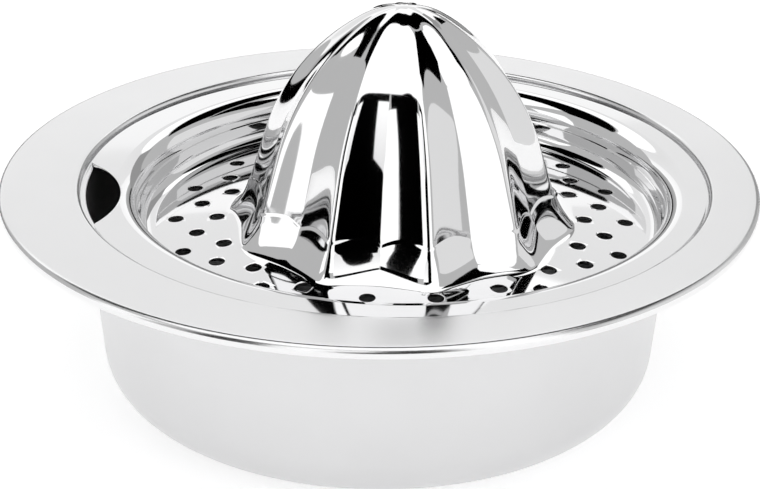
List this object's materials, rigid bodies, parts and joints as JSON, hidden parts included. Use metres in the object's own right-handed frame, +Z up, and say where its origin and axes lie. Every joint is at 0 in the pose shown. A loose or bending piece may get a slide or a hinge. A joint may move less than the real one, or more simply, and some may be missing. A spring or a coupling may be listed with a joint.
{
  "type": "citrus juicer",
  "caption": "Round stainless bowl with a wide pouring flange and a lift-out perforated strainer that carries a ribbed conical citrus reamer.",
  "frame": {"origin": "centre of the bowl's flat base, on the table", "axes": "+Z up along the bowl's axis, the pour notch on the -X side, +Y away from the front"},
  "size_m": [0.16, 0.16, 0.0834],
  "materials": {
    "bowl_steel": "polished flange over a fine satin body, stainless steel",
    "strainer_steel": "mirror-polished stainless steel"
  },
  "bodies": {
    "bowl": {"bowl": "bowl_steel"},
    "strainer": {"strainer": "strainer_steel"}
  },
  "joints": [
    {"name": "strainer_lift", "type": "slide", "parent": "bowl", "child": "strainer", "axis": [0, 0, 1], "range_m": [0, 0.1]}
  ]
}
